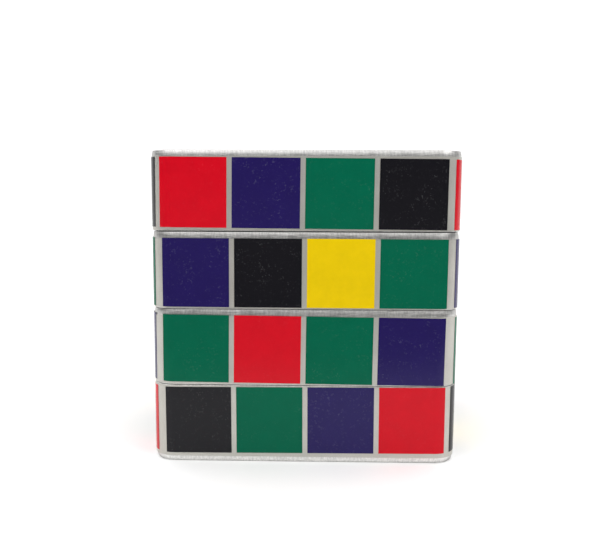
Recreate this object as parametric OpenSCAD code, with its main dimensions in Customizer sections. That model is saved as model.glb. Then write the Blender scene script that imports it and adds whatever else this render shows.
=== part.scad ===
// Puzzle-cube herb grinder. Four square metal layers stand on one upright axis and make a cube:
// a base cup, a sifter, a grinding chamber and a lid. The sifter screws into the base, the chamber
// screws into the sifter, and the lid turns freely on the chamber's collar, held by two magnets.
// Each layer wears a silver film band printed with coloured squares. The origin is the centre of
// the underside, +Z is up and -Y is the front.

/* [Cube] */
// Width across the printed faces
cube_w = 50; // [49:0.5:53]
// Radius of the upright corners, over the print
corner_r = 3.8; // [3.4:0.1:4.2]
// Height of the polished shoulder along each top edge
shoulder_h = 1; // [0.8:0.1:1.1]
// How far the shoulder leans in at the top
shoulder_in = 0.14; // [0.1:0.02:0.3]
// Height of the rounded foot under the base
foot_h = 0.9; // [0.7:0.1:1.4]
// How far the foot tucks in at the bottom
foot_in = 0.4; // [0.3:0.05:0.6]
// Height of the groove along each lower edge, which makes the seam line
seam_h = 0.15; // [0.1:0.05:0.2]
// Depth of that groove
seam_in = 0.5; // [0.3:0.05:0.7]
// Bevel along the base's upper edge
rim_bevel = 0.1; // [0.1:0.05:0.2]

/* [Layers] */
// Height of the base cup
base_h = 12.85; // [12.8:0.05:13.4]
// Height of the sifter
sifter_h = 12.45; // [12.4:0.05:13]
// Height of the grinding chamber
chamber_h = 12.45; // [12.4:0.05:13]
// Height of the lid, over its printed top
lid_h = 12.95; // [12.8:0.05:13.2]
// Thickness of the base's floor and of the grinding floor
floor_t = 1.6; // [1.4:0.1:2]
// Thickness of the lid's top plate
top_t = 1.8; // [1.6:0.1:2.2]

/* [Print] */
// Thickness of the silver film
film_t = 0.1; // [0.08:0.01:0.14]
// Thickness of the ink
ink_t = 0.04; // [0.03:0.01:0.06]
// Width of a printed square
square_side = 10.8; // [10.2:0.1:10.9]
// Height of a printed square on the four sides of the cube
square_rise = 11.05; // [10.8:0.05:11.1]
// Distance from one printed square to the next
square_pitch = 11.62; // [11.3:0.02:11.7]
// Height of the film above the lower edge of the sifter, chamber and lid
film_lift = 0.25; // [0.25:0.05:0.35]
// Gap where the two ends of the film meet
film_joint = 0.3; // [0.2:0.1:1]
// Side of the film on top of the lid
top_film_w = 47.4; // [47:0.1:48]

/* [Threads and collar] */
// Radius of the two threaded spigots
spigot_r = 20.3; // [20.2:0.05:20.35]
// Length of the two threaded spigots
spigot_h = 3.2; // [3:0.1:3.4]
// Radius of the two threaded sockets
socket_r = 21; // [20.95:0.05:21.1]
// Rise of the thread in one turn
thread_lead = 3; // [2.8:0.1:3.2]
// How far each ridge stands out
ridge_h = 0.45; // [0.4:0.01:0.47]
// Height of the chamber's collar inside the lid
collar_h = 5.9; // [5:0.1:6.2]
// Thickness of the collar and of the chamber's spigot
collar_t = 1.4; // [1.2:0.1:1.4]
// Thickness of the nylon slip ring
slip_ring_t = 0.45; // [0.4:0.01:0.5]

/* [Inside] */
// Radius of the base cup's bowl and of the sifter's bowl
bowl_r = 20; // [19.6:0.1:20.1]
// Radius of the opening under the screen
screen_hole_r = 16.5; // [16:0.1:16.8]
// Radius of the screen
screen_r = 18.2; // [18:0.1:18.4]
// Thickness of the screen's mesh
screen_t = 0.3; // [0.2:0.05:0.3]
// Length of the grinding teeth
tooth_h = 14; // [12:0.5:14.5]
// Diameter of the drop holes in the grinding floor
drop_hole_d = 3.2; // [2.8:0.1:3.3]
// Radius of the two centre posts
post_r = 3.4; // [3.2:0.1:3.6]
// Radius of the two magnets
magnet_r = 2.5; // [2.2:0.1:2.6]
// Thickness of the two magnets
magnet_t = 2; // [1.5:0.1:3]

/* [Hidden] */
COLOURS = ["red", "blue", "green", "black", "yellow"];

// Layers by number, from the bottom up.
BASE = 0;
SIFTER = 1;
CHAMBER = 2;
LID = 3;
heights = [base_h, sifter_h, chamber_h, lid_h];
sifter_z = base_h;
chamber_z = sifter_z + sifter_h;
lid_z = chamber_z + chamber_h;
cube_h = lid_z + lid_h;
floors = [0, sifter_z, chamber_z, lid_z];

// Printed squares by layer: lower edge above the layer's bottom, start of the first front square
// along the outline, how far the band sinks to the right in degrees, and the plain strips at the
// left and the right corner.
print_lift = [1.6, 0.4, 0.4, 0.58];
print_start = [-1.5, -1.84, -1.74, -2.07];
print_slope = [-0.3, 0.5, 0.1, 0.4];
corner_gaps = [[1.8, 1.2], [1.8, 2.25], [1.8, 1.7], [1.1, 1.45]];

// Colours of a layer's sixteen squares, from the far end of the left side, past the front and the
// right side, to the far end of the back. r red, b blue, g green, k black, y yellow.
band_colours = ["ybgrkgbrkygbrkyg", "rgkbgrgbgybrkbgy", "krygbkygbrkgygbr", "gybkrbgkrgybgrky"];
// Colours on top of the lid, one string for each row, from the front.
top_colours = ["rgby", "kyrg", "brgk", "gkyb"];
letters = ["r", "b", "g", "k", "y"];
squares_per_band = 16;
squares_per_side = 4;
fine = 96;

// Metal outline inside the film and ink.
skin_t = film_t + ink_t;
metal_w = cube_w - 2 * skin_t;
metal_r = corner_r - skin_t;
metal_top = cube_h - skin_t;

// One side of the outline and the corner that follows it.
flat_l = cube_w - 2 * corner_r;
quarter_l = flat_l + corner_r * PI / 2;

// Thread: two ridges, half a turn apart, on each spigot and in each socket.
socket_h = spigot_h + 0.3;
ridge_root = 0.8;
ridge_crest = 0.3;
ridge_turns = (spigot_h - 1) / thread_lead;
ridge_steps = 30;
root_bite = 0.15;

// Inner surfaces of the grinding space.
slip_gap = 0.1;
fit_gap = 0.05;
bowl_fillet = 2;
mill_r = spigot_r - collar_t;
ceiling_z = metal_top - top_t;
grind_floor_z = chamber_z + floor_t;
ledge_t = 1.3;
ledge_z = sifter_z + ledge_t;
ring_t = 0.75;
lid_bore_r = spigot_r + slip_gap + slip_ring_t + fit_gap;
slip_ring_z = lid_z + 0.6;
slip_ring_h = collar_h - 0.4;
crown_r = mill_r + 0.7;
magnet_gap = 0.4;
post_top_z = (grind_floor_z + ceiling_z) / 2 + 2;
drop_hole_r = drop_hole_d / 2;

// Grinding teeth and drop holes: [radius of the circle, how many].
chamber_teeth = [[7.4, 8], [14.4, 14]];
lid_teeth = [[10.9, 10], [17.2, 16]];
drop_holes = [[10.9, 12], [16.7, 14]];
tooth_across = 1.2;
tooth_along = 1.5;
bite = 0.2;

// ---- the outline, as a path ----

// Point, and outward direction in degrees, at a length along the outline of the cube. Length 0 is
// the left end of the flat front, and it grows to the right and on round the cube.
function side_of(s) = floor(s / quarter_l);
function past_flat(s) = max(0, s - quarter_l * side_of(s) - flat_l);
function outward(s) = 90 * side_of(s) - 90 + past_flat(s) / corner_r * 180 / PI;
function turned(p, a) = [p[0] * cos(a) - p[1] * sin(a), p[0] * sin(a) + p[1] * cos(a)];
function arc_centre(s) = [min(flat_l, s - quarter_l * side_of(s)) - flat_l / 2, -flat_l / 2];
function outline_point(s, out) =
    turned(arc_centre(s), 90 * side_of(s)) + (corner_r + out) * turned([1, 0], outward(s));

// Length along the outline at which square q of a layer's band starts. Squares keep their pitch
// along a side, and plain strips part the sides.
function square_start(layer, q) =
    let (side = floor(q / squares_per_side) - 1, strip = corner_gaps[layer][side < 0 ? 0 : 1])
        print_start[layer] + (q - squares_per_side) * square_pitch
            + side * (strip - square_pitch + square_side);

// ---- shared shapes ----

// Square with round corners.
module outline(w, r) {
    square([w, w - 2 * r], center = true);
    square([w - 2 * r, w], center = true);
    for (x = [-1, 1], y = [-1, 1])
        translate([x, y] * (w / 2 - r)) circle(r, $fn = fine);
}

// Metal block with the rounded-square plan. The child is its edge profile, from the centre of a
// corner outwards, and it runs along the sides and round the corners.
module block(h) {
    reach = metal_w / 2 - metal_r;
    translate([-reach, -reach, 0]) cube([2 * reach, 2 * reach, h]);
    for (a = [0, 90, 180, 270]) rotate(a) {
        translate([reach, reach, 0]) rotate_extrude(angle = 90, $fn = fine) children();
        translate([reach, reach, 0]) rotate([90, 0, 0]) linear_extrude(2 * reach) children();
    }
}

// Edge profile with a polished shoulder at the top and the seam's groove at the bottom.
module shoulder_profile(h) {
    arc_r = (shoulder_h * shoulder_h + shoulder_in * shoulder_in) / (2 * shoulder_in);
    intersection() {
        union() {
            square([metal_r - seam_in, h]);
            polygon([
                [0, seam_h], [metal_r, seam_h], [metal_r, h - shoulder_h], [0, h - shoulder_h]
            ]);
            translate([metal_r - arc_r, h - shoulder_h]) circle(arc_r, $fn = fine);
        }
        square([metal_r, h]);
    }
}

// Edge profile of the base: a rounded foot, and a small bevel at the top.
module foot_profile(h) {
    arc_r = (foot_h * foot_h + foot_in * foot_in) / (2 * foot_in);
    intersection() {
        union() {
            square([metal_r - arc_r, h]);
            polygon([
                [0, foot_h], [metal_r, foot_h], [metal_r, h - rim_bevel],
                [metal_r - rim_bevel, h], [0, h]
            ]);
            translate([metal_r - arc_r, foot_h]) circle(arc_r, $fn = fine);
        }
        square([metal_r, h]);
    }
}

// Round bowl with a fillet at its foot, open at the top.
module bowl(r, h) {
    rotate_extrude($fn = fine) {
        square([r - bowl_fillet, h]);
        translate([0, bowl_fillet]) square([r, h - bowl_fillet]);
        translate([r - bowl_fillet, bowl_fillet]) circle(bowl_fillet, $fn = fine);
    }
}

module disc(r, h) cylinder(h = h, r = r, $fn = fine);

module ring(outer, inner, h) {
    difference() {
        disc(outer, h);
        translate([0, 0, -1]) disc(inner, h + 2);
    }
}

// Thread: two helical ridges that rise to the left seen from outside, each a trapezoid swept
// from its lower end. r and w are its radius and width on the inside and on the outside.
module thread(r_in, w_in, r_out, w_out, z) {
    profile = [[r_in, -w_in / 2], [r_out, -w_out / 2], [r_out, w_out / 2], [r_in, w_in / 2]];
    points = [
        for (i = [0:ridge_steps], p = profile)
            let (turn = ridge_turns * i / ridge_steps)
                [p[0] * cos(360 * turn), p[0] * sin(360 * turn), p[1] + thread_lead * turn]
    ];
    walls = [
        for (i = [0:ridge_steps - 1], k = [0:3])
            let (a = 4 * i + k, b = 4 * i + (k + 1) % 4)
                each [[a, b, b + 4], [a, b + 4, a + 4]]
    ];
    last = 4 * ridge_steps;
    ends = [[0, 3, 2], [0, 2, 1], [last, last + 1, last + 2], [last, last + 2, last + 3]];
    for (start = [0, 180])
        translate([0, 0, z]) rotate(start) polyhedron(points, concat(walls, ends));
}

// Ridges round a spigot whose shoulder is at height z, and the ridges of the socket it fits. A
// quarter of a turn puts one pair of ridges midway between the other pair.
module spigot_thread(z) {
    thread(spigot_r - root_bite, ridge_root, spigot_r + ridge_h, ridge_crest, z - spigot_h + 0.5);
}

module socket_thread(z) {
    rotate(90)
        thread(socket_r - ridge_h, ridge_crest, socket_r + root_bite, ridge_root, z - spigot_h + 0.5);
}

// Diamond-shaped teeth that stand on z, on circles of [radius, how many].
module teeth(circles, z, h) {
    for (c = circles, i = [1:c[1]])
        rotate(i * 360 / c[1]) translate([c[0], 0, z]) linear_extrude(h)
            polygon([[-tooth_across, 0], [0, -tooth_along], [tooth_across, 0], [0, tooth_along]]);
}

// ---- film and printed squares ----

// Skin of thickness t round the cube, its outside dist in from the printed face.
module skin(dist, t, z, h) {
    w = cube_w - 2 * dist;
    translate([0, 0, z]) linear_extrude(h) difference() {
        outline(w, corner_r - dist);
        outline(w - 2 * t, corner_r - dist - t);
    }
}

// Piece of the plan that holds the outline from length a to length b.
module stretch(a, b) {
    steps = 6;
    polygon(concat(
        [for (i = [0:steps]) outline_point(a + (b - a) * i / steps, 1)],
        [for (i = [steps:-1:0]) outline_point(a + (b - a) * i / steps, -1)]
    ));
}

// Film band of one layer, open where its ends meet at the back left corner.
module wrap(layer) {
    low = layer == BASE ? foot_h + 0.05 : film_lift;
    high = heights[layer] - (layer == BASE ? rim_bevel : shoulder_h) - 0.05;
    last_end = square_start(layer, squares_per_band - 1) + square_side;
    gap = (last_end + square_start(layer, 0) + 4 * quarter_l - film_joint) / 2;
    color([0.74, 0.72, 0.69]) difference() {
        skin(ink_t, film_t, floors[layer] + low, high - low);
        translate([0, 0, floors[layer]]) linear_extrude(heights[layer])
            stretch(gap, gap + film_joint);
    }
}

// Squares of one colour on a layer's band. The band was wrapped a little out of level.
module band_squares(layer, letter) {
    middle = print_lift[layer] + square_rise / 2;
    intersection() {
        skin(0, ink_t, floors[layer], heights[layer]);
        translate([0, 0, floors[layer] + middle]) rotate([0, print_slope[layer], 0])
            for (q = [0:squares_per_band - 1]) if (band_colours[layer][q] == letter) {
                a = square_start(layer, q);
                translate([0, 0, -square_rise / 2]) linear_extrude(square_rise)
                    stretch(a, a + square_side);
            }
    }
}

// Squares of one colour on top of the lid.
module top_squares(letter) {
    for (i = [0:3], j = [0:3]) if (top_colours[j][i] == letter)
        translate([(i - 1.5) * square_pitch, (j - 1.5) * square_pitch, cube_h - ink_t / 2])
            cube([square_side, square_side, ink_t], center = true);
}

module squares(layer, c) {
    color(COLOURS[c]) {
        band_squares(layer, letters[c]);
        if (layer == LID) top_squares(letters[c]);
    }
}

// ---- base ----

module base_cup() {
    color("silver") {
        difference() {
            block(base_h) foot_profile(base_h);
            translate([0, 0, floor_t]) bowl(bowl_r, base_h);
            translate([0, 0, base_h - socket_h]) disc(socket_r, socket_h + 1);
        }
        socket_thread(base_h);
    }
}

// ---- sifter ----

module sifter_body() {
    color("silver") {
        difference() {
            union() {
                translate([0, 0, sifter_z]) block(sifter_h) shoulder_profile(sifter_h);
                translate([0, 0, sifter_z - spigot_h]) disc(spigot_r, spigot_h + 1);
            }
            translate([0, 0, sifter_z - spigot_h - 1]) disc(screen_hole_r + 1, spigot_h + 1);
            translate([0, 0, sifter_z - 1]) disc(screen_hole_r, sifter_h);
            translate([0, 0, ledge_z]) disc(screen_r + fit_gap, sifter_h);
            translate([0, 0, ledge_z + screen_t + ring_t]) bowl(bowl_r, sifter_h);
            translate([0, 0, chamber_z - socket_h]) disc(socket_r, socket_h + 1);
        }
        spigot_thread(sifter_z);
        socket_thread(chamber_z);
    }
}

module screen_mesh() {
    color("gainsboro") translate([0, 0, ledge_z]) disc(screen_r - fit_gap, screen_t);
}

module screen_ring() {
    color("lightgray") translate([0, 0, ledge_z + screen_t])
        ring(screen_r, screen_hole_r + 0.1, ring_t);
}

// ---- grinding chamber ----

module chamber_body() {
    color("silver") {
        difference() {
            union() {
                translate([0, 0, chamber_z]) block(chamber_h) shoulder_profile(chamber_h);
                translate([0, 0, chamber_z - spigot_h]) disc(spigot_r, spigot_h + 1);
                translate([0, 0, lid_z - 1]) disc(spigot_r, collar_h + 1);
            }
            translate([0, 0, chamber_z - spigot_h - 1]) disc(mill_r, spigot_h + 1);
            translate([0, 0, grind_floor_z]) disc(mill_r, chamber_h + collar_h);
            for (c = drop_holes, i = [1:c[1]])
                rotate((i - 0.5) * 360 / c[1]) translate([c[0], 0, chamber_z - 1])
                    cylinder(h = floor_t + 2, r = drop_hole_r, $fn = 32);
        }
        difference() {
            translate([0, 0, grind_floor_z - bite]) disc(post_r, post_top_z - grind_floor_z + bite);
            translate([0, 0, post_top_z - magnet_t]) disc(magnet_r + fit_gap, magnet_t + 1);
        }
        teeth(chamber_teeth, grind_floor_z - bite, tooth_h + bite);
        spigot_thread(chamber_z);
    }
}

module chamber_magnet() {
    color("gray") translate([0, 0, post_top_z - magnet_t]) disc(magnet_r, magnet_t);
}

// ---- lid ----

module lid_shell() {
    post_foot_z = post_top_z + magnet_gap;
    color("silver") {
        difference() {
            translate([0, 0, lid_z]) block(metal_top - lid_z) shoulder_profile(metal_top - lid_z);
            translate([0, 0, lid_z - 1]) disc(lid_bore_r, collar_h + 1.6);
            translate([0, 0, lid_z]) disc(crown_r, ceiling_z - lid_z);
        }
        difference() {
            translate([0, 0, post_foot_z]) disc(post_r, ceiling_z - post_foot_z + bite);
            translate([0, 0, post_foot_z - 1]) disc(magnet_r + fit_gap, magnet_t + 1);
        }
        teeth(lid_teeth, ceiling_z - tooth_h, tooth_h + bite);
    }
}

module lid_magnet() {
    color("gray") translate([0, 0, post_top_z + magnet_gap]) disc(magnet_r, magnet_t);
}

module lid_slip_ring() {
    color("white") translate([0, 0, slip_ring_z])
        ring(lid_bore_r - fit_gap, spigot_r + slip_gap, slip_ring_h);
}

module lid_top_film() {
    color([0.74, 0.72, 0.69]) translate([0, 0, metal_top]) linear_extrude(film_t)
        outline(top_film_w, corner_r - (cube_w - top_film_w) / 2);
}

base_cup();
wrap(BASE);  // base_wrap
squares(BASE, 0);  // base_red_squares
squares(BASE, 1);  // base_blue_squares
squares(BASE, 2);  // base_green_squares
squares(BASE, 3);  // base_black_squares
squares(BASE, 4);  // base_yellow_squares
sifter_body();
screen_mesh();
screen_ring();
wrap(SIFTER);  // sifter_wrap
squares(SIFTER, 0);  // sifter_red_squares
squares(SIFTER, 1);  // sifter_blue_squares
squares(SIFTER, 2);  // sifter_green_squares
squares(SIFTER, 3);  // sifter_black_squares
squares(SIFTER, 4);  // sifter_yellow_squares
chamber_body();
chamber_magnet();
wrap(CHAMBER);  // chamber_wrap
squares(CHAMBER, 0);  // chamber_red_squares
squares(CHAMBER, 1);  // chamber_blue_squares
squares(CHAMBER, 2);  // chamber_green_squares
squares(CHAMBER, 3);  // chamber_black_squares
squares(CHAMBER, 4);  // chamber_yellow_squares
lid_shell();
lid_magnet();
lid_slip_ring();
wrap(LID);  // lid_wrap
lid_top_film();
squares(LID, 0);  // lid_red_squares
squares(LID, 1);  // lid_blue_squares
squares(LID, 2);  // lid_green_squares
squares(LID, 3);  // lid_black_squares
squares(LID, 4);  // lid_yellow_squares
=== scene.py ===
"""Looks of the puzzle-cube herb grinder: printed film, polished shoulders, turned insides and the
woven screen, on a pale studio floor."""

import math

import bmesh
import bpy
from mathutils import Matrix, Vector


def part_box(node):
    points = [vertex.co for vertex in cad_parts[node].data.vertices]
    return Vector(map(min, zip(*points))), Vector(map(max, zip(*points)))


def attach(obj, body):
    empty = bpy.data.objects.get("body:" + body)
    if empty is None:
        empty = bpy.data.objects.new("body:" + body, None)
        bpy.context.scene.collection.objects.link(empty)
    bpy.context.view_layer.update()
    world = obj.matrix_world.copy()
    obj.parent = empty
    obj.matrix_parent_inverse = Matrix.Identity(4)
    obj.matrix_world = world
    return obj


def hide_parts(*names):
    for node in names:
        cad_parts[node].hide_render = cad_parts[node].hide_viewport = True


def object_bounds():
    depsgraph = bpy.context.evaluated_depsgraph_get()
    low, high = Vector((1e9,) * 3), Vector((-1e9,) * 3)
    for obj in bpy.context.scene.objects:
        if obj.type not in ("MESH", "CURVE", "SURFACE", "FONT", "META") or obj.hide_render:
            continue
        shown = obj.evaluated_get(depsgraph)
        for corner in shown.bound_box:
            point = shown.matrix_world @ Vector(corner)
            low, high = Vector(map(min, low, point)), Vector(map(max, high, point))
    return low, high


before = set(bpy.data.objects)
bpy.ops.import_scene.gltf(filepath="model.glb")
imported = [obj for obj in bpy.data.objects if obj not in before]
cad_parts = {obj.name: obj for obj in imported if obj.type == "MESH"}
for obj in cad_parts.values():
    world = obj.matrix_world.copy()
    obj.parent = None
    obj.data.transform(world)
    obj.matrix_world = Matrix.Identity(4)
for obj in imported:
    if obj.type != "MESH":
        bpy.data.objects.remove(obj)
cad_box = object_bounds()

MM = 0.001
LAYERS = ("base", "sifter", "chamber", "lid")
METAL_NODES = {"base": "base_cup", "sifter": "sifter_body", "chamber": "chamber_body", "lid": "lid_shell"}

# Ink colours, linear.
INKS = {
    "red": (0.54, 0.002, 0.011),
    "blue": (0.013, 0.007, 0.080),
    "green": (0.001, 0.103, 0.054),
    "black": (0.0065, 0.0062, 0.0085),
    "yellow": (0.68, 0.475, 0.001),
}
# How strongly the film's grain shows through each ink as pale specks.
SPECKS = {"red": 0.010, "blue": 0.036, "green": 0.020, "black": 0.034, "yellow": 0.004}
# Specular level of each ink: black and blue are the glossiest.
INK_GLOSS = {"red": 0.16, "blue": 0.21, "green": 0.07, "black": 0.21, "yellow": 0.07}
FILM_COLOUR = (0.555, 0.54, 0.495)
BUFFED_COLOUR = (0.83, 0.82, 0.80)
TURNED_COLOUR = (0.63, 0.62, 0.605)
WIRE_COLOUR = (0.60, 0.59, 0.57)
PLATE_COLOUR = (0.60, 0.59, 0.575)
NYLON_COLOUR = (0.80, 0.79, 0.74)

# Corner radius of the metal, and height of the groove along the foot of the lid.
CORNER_RADIUS = 3.66 * MM
GROOVE = 0.16 * MM

# Woven screen.
WIRE_PITCH = 0.62 * MM
WIRE_RADIUS = 0.085 * MM
WIRE_SIDES = 5

# Camera: it stands in front of the cube, a little above its middle, and looks slightly down.
CAMERA_PLACE = (0.0, -142.4 * MM, 43.09 * MM)
CAMERA_PITCH = 7.18
CAMERA_PAN = -1.364
CAMERA_ROLL = 0.22
CAMERA_LENS = 44.46
CAMERA_SHIFT = (0.0209, 0.0236)

# Brightness of the light tent: round the horizon and overhead.
BACKDROP_GLOW = 1.12
TENT_GLOW = 1.64
# Black cards: near edge of the one on the floor, and the radius, the height and the reach to either
# side, in degrees, of the curved one.
CARD_EDGE = -86 * MM
SCREEN_RADIUS = 3.0
SCREEN_TOP = 1.4
SCREEN_REACH = 112


# ---- node helpers ----


def material(name, **shader):
    """A material and its Principled shader, with uniform values set on the shader's own sockets."""
    m = bpy.data.materials.new(name)
    m.use_nodes = True
    bsdf = m.node_tree.nodes["Principled BSDF"]
    for key, value in shader.items():
        bsdf.inputs[key.replace("_", " ")].default_value = value
    return m, bsdf


def add(m, kind, inputs=(), **settings):
    """A node with its settings; inputs are (socket, value or output socket) pairs."""
    node = m.node_tree.nodes.new(kind)
    for key, value in settings.items():
        setattr(node, key, value)
    for key, value in inputs:
        if isinstance(value, bpy.types.NodeSocket):
            m.node_tree.links.new(value, node.inputs[key])
        else:
            node.inputs[key].default_value = value
    return node


def place(m, scale=(1, 1, 1)):
    """The point on the object, in metres, stretched by scale."""
    coords = add(m, "ShaderNodeTexCoord")
    stretched = add(m, "ShaderNodeMapping", [("Vector", coords.outputs["Object"]), ("Scale", scale)])
    return stretched.outputs["Vector"]


def noise(m, size, detail=3.0, rough=0.5, stretch=(1, 1, 1)):
    """Noise between 0 and 1 whose features are about size metres across, times stretch."""
    scale = tuple(1 / s for s in stretch)
    node = add(
        m, "ShaderNodeTexNoise",
        [("Vector", place(m, scale)), ("Scale", 1 / size), ("Detail", detail), ("Roughness", rough)],
    )
    return node.outputs["Fac"]


def remap(m, value, low, high, to_low, to_high):
    node = add(
        m, "ShaderNodeMapRange",
        [("Value", value), ("From Min", low), ("From Max", high), ("To Min", to_low), ("To Max", to_high)],
    )
    return node.outputs["Result"]


def blend_colour(m, fac, a, b):
    """Colour a where fac is 0 and colour b where it is 1."""
    node = add(m, "ShaderNodeMix", data_type="RGBA")
    for key, value in ((0, fac), (6, a), (7, b)):
        if isinstance(value, bpy.types.NodeSocket):
            m.node_tree.links.new(value, node.inputs[key])
        else:
            node.inputs[key].default_value = value if key == 0 else (*value, 1)
    return node.outputs[2]


def maths(m, operation, a, b=0.0):
    return add(m, "ShaderNodeMath", [(0, a), (1, b)], operation=operation).outputs[0]


def share(m, a, b, part):
    """Sum of a and b in which a counts for part of one and b for the rest."""
    return maths(m, "ADD", maths(m, "MULTIPLY", a, part), maths(m, "MULTIPLY", b, 1 - part))


def link(m, output, bsdf, socket):
    m.node_tree.links.new(output, bsdf.inputs[socket])


def two_tone(m, bsdf, colour, darkest, fac):
    """Base colour that goes from darkest times the colour, where fac is 0, to the colour itself."""
    dark = tuple(c * darkest for c in colour)
    link(m, blend_colour(m, fac, dark, colour), bsdf, "Base Color")


def bump(m, bsdf, height, distance, strength=1.0):
    node = add(m, "ShaderNodeBump", [("Height", height), ("Distance", distance), ("Strength", strength)])
    link(m, node.outputs["Normal"], bsdf, "Normal")


# ---- materials ----


def printed_ink(name):
    """Satin ink on film: faint mottling, and pale specks where the film's grain shows through."""
    m, bsdf = material(name + "_ink", Specular_IOR_Level=INK_GLOSS[name])
    mottle = remap(m, noise(m, 2.0 * MM, 6.0, 0.7), 0.3, 0.7, 0.95, 1.05)
    tone = add(m, "ShaderNodeVectorMath", [(0, INKS[name]), ("Scale", mottle)], operation="SCALE")
    grains = remap(m, noise(m, 0.34 * MM, 2.0, 0.7), 0.58, 0.74, 0.0, 1.0)
    patches = remap(m, noise(m, 2.6 * MM, 2.0), 0.42, 0.62, 0.15, 1.0)
    specks = maths(m, "MULTIPLY", maths(m, "MULTIPLY", grains, patches), SPECKS[name])
    link(m, blend_colour(m, specks, tone.outputs["Vector"], (1, 1, 1)), bsdf, "Base Color")
    link(m, remap(m, noise(m, 0.5 * MM, 3.0), 0.3, 0.7, 0.16, 0.26), bsdf, "Roughness")
    bump(m, bsdf, noise(m, 0.5 * MM, 2.0), 0.002 * MM, 0.5)
    return m


def silver_film():
    """Satin metallised film with a fine grain."""
    m, bsdf = material("silver_film", Metallic=0.6)
    grain = noise(m, 0.16 * MM, 3.0, 0.6)
    cloud = noise(m, 5 * MM, 3.0, 0.5)
    tone = remap(m, share(m, grain, cloud, 0.55), 0.38, 0.62, 0.0, 1.0)
    two_tone(m, bsdf, FILM_COLOUR, 0.84, tone)
    link(m, remap(m, grain, 0.3, 0.7, 0.34, 0.5), bsdf, "Roughness")
    bump(m, bsdf, grain, 0.004 * MM, 0.6)
    return m


def polished_metal():
    """Buffed alloy: long level streaks, fine upright scratches and cloudy gloss."""
    m, bsdf = material("polished_metal", Metallic=1.0, Specular_Tint=(0.45, 0.45, 0.45, 1.0))
    streaks = noise(m, 0.15 * MM, 4.0, 0.6, (12, 12, 1))
    scratches = noise(m, 0.26 * MM, 2.0, 0.6, (1, 1, 5))
    cloud = noise(m, 1.6 * MM, 3.0, 0.5)
    marks = share(m, streaks, scratches, 0.4)
    two_tone(m, bsdf, BUFFED_COLOUR, 0.76, remap(m, marks, 0.40, 0.60, 0.0, 1.0))
    link(m, remap(m, share(m, streaks, cloud, 0.6), 0.35, 0.65, 0.304, 0.475), bsdf, "Roughness")
    bump(m, bsdf, marks, 0.0036 * MM, 1.0)
    return m


def seam_painted_shade():
    """Painted shade: a dark, patchy material in the groove between the lid and the chamber, where the
    gap's shadow falls.
    """
    m, bsdf = material("seam_painted_shade", Specular_IOR_Level=0.1)
    # Patches that vary the darkness of the painted shade.
    shade_patches = remap(m, noise(m, 0.3 * MM, 3.0), 0.3, 0.7, 0.0, 1.0)
    link(m, blend_colour(m, shade_patches, (0.012, 0.011, 0.009), (0.035, 0.033, 0.028)), bsdf, "Base Color")
    link(m, remap(m, shade_patches, 0.0, 1.0, 0.7, 0.9), bsdf, "Roughness")
    return m


def rings(m, pitch, detail, rough):
    """Noise between 0 and 1 that keeps its value round the upright axis: lathe marks pitch apart."""
    coords = add(m, "ShaderNodeTexCoord").outputs["Object"]
    flat = add(m, "ShaderNodeVectorMath", [(0, coords), (1, (1, 1, 0))], operation="MULTIPLY")
    radius = add(m, "ShaderNodeVectorMath", [(0, flat.outputs["Vector"])], operation="LENGTH")
    split = add(m, "ShaderNodeSeparateXYZ", [("Vector", coords)])
    section = add(
        m, "ShaderNodeCombineXYZ",
        [("X", maths(m, "MULTIPLY", radius.outputs["Value"], 1 / pitch)),
         ("Y", maths(m, "MULTIPLY", split.outputs["Z"], 1 / pitch))],
    )
    marks = add(
        m, "ShaderNodeTexNoise",
        [("Vector", section.outputs["Vector"]), ("Scale", 1.0), ("Detail", detail), ("Roughness", rough)],
    )
    return marks.outputs["Fac"]


def turned_metal():
    """Alloy cut on a lathe: fine rings round the upright axis in soft bands, and a little haze."""
    m, bsdf = material("turned_metal", Metallic=1.0, Anisotropic=0.55)
    tangent = add(m, "ShaderNodeTangent", direction_type="RADIAL", axis="Z")
    link(m, tangent.outputs["Tangent"], bsdf, "Tangent")
    fine = rings(m, 0.24 * MM, 3.0, 0.6)
    bands = rings(m, 1.3 * MM, 2.0, 0.5)
    haze = noise(m, 6 * MM, 3.0)
    two_tone(m, bsdf, TURNED_COLOUR, 0.84, remap(m, share(m, fine, bands, 0.5), 0.38, 0.62, 0.0, 1.0))
    link(m, remap(m, share(m, bands, haze, 0.6), 0.35, 0.65, 0.26, 0.38), bsdf, "Roughness")
    bump(m, bsdf, fine, 0.004 * MM, 0.7)
    return m


def plated_metal(name, colour, rough):
    """Small plated or drawn part: a soft gloss with faint scuffs."""
    m, bsdf = material(name, Metallic=1.0)
    scuff = noise(m, 0.5 * MM, 4.0, 0.6)
    two_tone(m, bsdf, colour, 0.86, remap(m, scuff, 0.35, 0.65, 0.0, 1.0))
    link(m, remap(m, scuff, 0.3, 0.7, rough * 0.85, rough * 1.2), bsdf, "Roughness")
    bump(m, bsdf, scuff, 0.001 * MM, 0.6)
    return m


def milky_nylon():
    m, bsdf = material("milky_nylon", Subsurface_Weight=0.25, Subsurface_Scale=0.4 * MM)
    cloud = noise(m, 1.5 * MM, 3.0)
    two_tone(m, bsdf, NYLON_COLOUR, 0.90, remap(m, cloud, 0.3, 0.7, 0.0, 1.0))
    link(m, remap(m, cloud, 0.3, 0.7, 0.42, 0.58), bsdf, "Roughness")
    bump(m, bsdf, noise(m, 0.2 * MM, 2.0), 0.006 * MM, 0.6)
    return m


def studio_paper():
    m, bsdf = material("studio_paper")
    tone = remap(m, noise(m, 40 * MM, 3.0), 0.3, 0.7, 0.0, 1.0)
    link(m, blend_colour(m, tone, (0.90, 0.90, 0.90), (0.93, 0.93, 0.93)), bsdf, "Base Color")
    link(m, remap(m, noise(m, 2 * MM, 3.0), 0.3, 0.7, 0.65, 0.8), bsdf, "Roughness")
    return m


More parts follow.
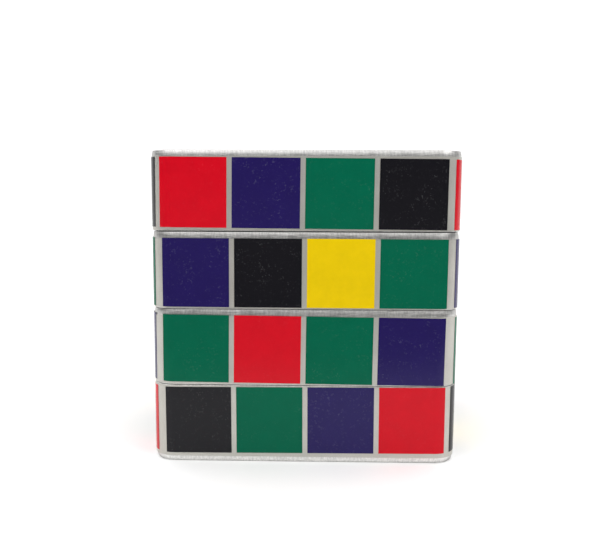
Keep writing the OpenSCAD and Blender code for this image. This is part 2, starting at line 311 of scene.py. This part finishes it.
def plain_card():
    m, bsdf = material("card_black", Specular_IOR_Level=0.1)
    tone = remap(m, noise(m, 20 * MM, 3.0), 0.3, 0.7, 0.0, 1.0)
    link(m, blend_colour(m, tone, (0.05, 0.05, 0.05), (0.07, 0.07, 0.07)), bsdf, "Base Color")
    return m


# ---- dressing the CAD nodes ----


def dress(node, mat):
    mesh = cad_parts[node].data
    mesh.materials.clear()
    mesh.materials.append(mat)


def outline_reach(point, half):
    """How far out a point lies towards the cube's rounded-square outline, whose reach is half."""
    core = half - CORNER_RADIUS
    return core + math.hypot(max(abs(point.x) - core, 0), max(abs(point.y) - core, 0))


def dress_body(node, outside, inside, seam):
    """Polished outside and turned inside. The groove under the lid, over the teeth, gets painted shade: a
    dark material in place of the shadow in the gap.
    """
    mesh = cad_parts[node].data
    low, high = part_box(node)
    half = (high[0] - low[0]) / 2
    mesh.materials.clear()
    for mat in (outside, inside, seam):
        mesh.materials.append(mat)
    foot = min(v.co.z for v in mesh.vertices if outline_reach(v.co, half) > half - MM)
    for face in mesh.polygons:
        corners = [mesh.vertices[v].co for v in face.vertices]
        outer = min(outline_reach(c, half) for c in corners) > half - MM
        if outer and abs(face.normal.z) < 0.9:
            level = sum(c.z for c in corners) / len(corners)
            # Faces low in the lid's groove take the painted shade.
            grooved = node == "lid_shell" and level < foot + GROOVE
            face.material_index = 2 if grooved else 0
        else:
            face.material_index = 1


def dress_all():
    inks = {name: printed_ink(name) for name in INKS}
    film = silver_film()
    polished = polished_metal()
    turned = turned_metal()
    # Dark material that paints the shade in the lid's groove.
    groove_shade = seam_painted_shade()
    for layer in LAYERS:
        dress(layer + "_wrap", film)
        dress_body(METAL_NODES[layer], polished, turned, groove_shade)
        for name, ink in inks.items():
            dress(layer + "_" + name + "_squares", ink)
    dress("lid_top_film", film)
    plate = plated_metal("nickel_plate", PLATE_COLOUR, 0.24)
    dress("chamber_magnet", plate)
    dress("lid_magnet", plate)
    dress("screen_ring", plated_metal("pressed_ring", WIRE_COLOUR, 0.26))
    dress("lid_slip_ring", milky_nylon())


# ---- the woven screen ----


def wire(bm, start, along, across, up, length, phase):
    """One wire of the weave: a thin tube that rises and dips over and under the wires it crosses."""
    count = max(2, int(length / (WIRE_PITCH / 2)))
    loops = []
    for i in range(count + 1):
        t = length * i / count
        lift = WIRE_RADIUS * 0.9 * math.cos(math.pi * (t / WIRE_PITCH + phase))
        centre = start + along * t + up * lift
        loops.append([
            bm.verts.new(centre + WIRE_RADIUS * (math.cos(a) * across + math.sin(a) * up))
            for a in (2 * math.pi * k / WIRE_SIDES for k in range(WIRE_SIDES))
        ])
    for first, second in zip(loops, loops[1:]):
        for k in range(WIRE_SIDES):
            n = (k + 1) % WIRE_SIDES
            bm.faces.new((first[k], first[n], second[n], second[k]))
    bm.faces.new(list(reversed(loops[0])))
    bm.faces.new(loops[-1])


def woven_screen():
    low, high = (Vector(v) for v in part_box("screen_mesh"))
    centre = (low + high) / 2
    radius = (high.x - low.x) / 2 - WIRE_RADIUS
    axes = ((Vector((1, 0, 0)), Vector((0, 1, 0))), (Vector((0, 1, 0)), Vector((1, 0, 0))))
    up = Vector((0, 0, 1))
    bm = bmesh.new()
    count = int(radius / WIRE_PITCH)
    for which, (along, across) in enumerate(axes):
        for i in range(-count, count + 1):
            offset = i * WIRE_PITCH
            half = WIRE_PITCH * int(math.sqrt(radius * radius - offset * offset) / WIRE_PITCH)
            if half > 0:
                wire(bm, centre + across * offset - along * half, along, across, up, 2 * half,
                     (i + which + round(half / WIRE_PITCH)) % 2)
    bmesh.ops.recalc_face_normals(bm, faces=bm.faces)
    mesh = bpy.data.meshes.new("woven_screen")
    bm.to_mesh(mesh)
    bm.free()
    for face in mesh.polygons:
        face.use_smooth = True
    screen = bpy.data.objects.new("woven_screen", mesh)
    bpy.context.collection.objects.link(screen)
    mesh.materials.append(plated_metal("screen_wire", WIRE_COLOUR, 0.3))
    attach(screen, "screen")
    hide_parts("screen_mesh")


# ---- studio ----


def studio_floor():
    """Pale paper that lies flat under the cube."""
    bm = bmesh.new()
    bmesh.ops.create_circle(bm, cap_ends=True, cap_tris=True, radius=1.5, segments=96)
    mesh = bpy.data.meshes.new("studio_floor")
    bm.to_mesh(mesh)
    bm.free()
    floor = bpy.data.objects.new("studio_floor", mesh)
    floor.location.z = cad_box[0][2]
    bpy.context.collection.objects.link(floor)
    mesh.materials.append(studio_paper())


def card(name, faces, mat, lights_through):
    """Black card that the camera doesn't see. It deepens reflections, or also holds back the light."""
    bm = bmesh.new()
    for corners in faces:
        bm.faces.new([bm.verts.new(c) for c in corners])
    mesh = bpy.data.meshes.new(name)
    bm.to_mesh(mesh)
    bm.free()
    mesh.materials.append(mat)
    piece = bpy.data.objects.new(name, mesh)
    bpy.context.collection.objects.link(piece)
    piece.visible_camera = False
    piece.visible_diffuse = not lights_through
    piece.visible_shadow = not lights_through


def dark_cards():
    """One card lies on the floor in front of the cube, and a curved one stands round the room."""
    mat = plain_card()
    floor_z = cad_box[0][2] + MM
    flat = [(x, y, floor_z) for x, y in ((-0.6, -0.9), (0.6, -0.9), (0.6, CARD_EDGE), (-0.6, CARD_EDGE))]
    card("floor_card", [flat], mat, True)
    turns = [math.radians(-90 + SCREEN_REACH * (i / 12 - 1)) for i in range(25)]
    rim = [(SCREEN_RADIUS * math.cos(a), SCREEN_RADIUS * math.sin(a)) for a in turns]
    foot = -0.1 * SCREEN_TOP
    walls = [[(*p, foot), (*q, foot), (*q, SCREEN_TOP), (*p, SCREEN_TOP)] for p, q in zip(rim, rim[1:])]
    card("room_card", walls, mat, False)


def soft_light(name, place_mm, size_mm, power, target_mm=(0, 0, 25)):
    data = bpy.data.lights.new(name, "AREA")
    data.shape = "RECTANGLE"
    data.size = size_mm[0] * MM
    data.size_y = size_mm[1] * MM
    data.energy = power
    light = bpy.data.objects.new(name, data)
    light.location = Vector(place_mm) * MM
    aim = (Vector(target_mm) - Vector(place_mm)).to_track_quat("-Z", "Y")
    light.rotation_euler = aim.to_euler()
    bpy.context.collection.objects.link(light)


def studio_world():
    """A light tent: white all round and brighter overhead."""
    world = bpy.data.worlds.new("studio")
    world.use_nodes = True
    tree = world.node_tree

    coords = tree.nodes.new("ShaderNodeTexCoord")
    split = tree.nodes.new("ShaderNodeSeparateXYZ")
    tree.links.new(coords.outputs["Generated"], split.inputs["Vector"])
    ramp = tree.nodes.new("ShaderNodeMapRange")
    ramp.interpolation_type = "SMOOTHSTEP"
    tree.links.new(split.outputs["Z"], ramp.inputs["Value"])
    limits = {"From Min": 0.05, "From Max": 0.75, "To Min": BACKDROP_GLOW, "To Max": TENT_GLOW}
    for key, number in limits.items():
        ramp.inputs[key].default_value = number
    tree.links.new(ramp.outputs["Result"], tree.nodes["Background"].inputs["Strength"])
    tree.nodes["Background"].inputs["Color"].default_value = (1, 1, 1, 1)
    bpy.context.scene.world = world


def camera():
    data = bpy.data.cameras.new("camera")
    data.lens = CAMERA_LENS
    data.sensor_width = 36
    data.clip_start = 0.01
    data.shift_x, data.shift_y = CAMERA_SHIFT
    cam = bpy.data.objects.new("camera", data)
    pan = Matrix.Rotation(math.radians(-CAMERA_PAN), 4, "Z")
    tilt = Matrix.Rotation(math.radians(90 - CAMERA_PITCH), 4, "X")
    roll = Matrix.Rotation(math.radians(CAMERA_ROLL), 4, "Z")
    cam.matrix_world = Matrix.Translation(CAMERA_PLACE) @ pan @ tilt @ roll
    bpy.context.collection.objects.link(cam)
    bpy.context.scene.camera = cam


def studio():
    studio_floor()
    dark_cards()
    studio_world()
    soft_light("key_light", (-180, -300, 330), (260, 120), 0.3)
    soft_light("fill_light", (260, -260, 260), (200, 120), 0.2)
    bpy.context.scene.view_settings.view_transform = "Standard"
    camera()


dress_all()
woven_screen()
studio()
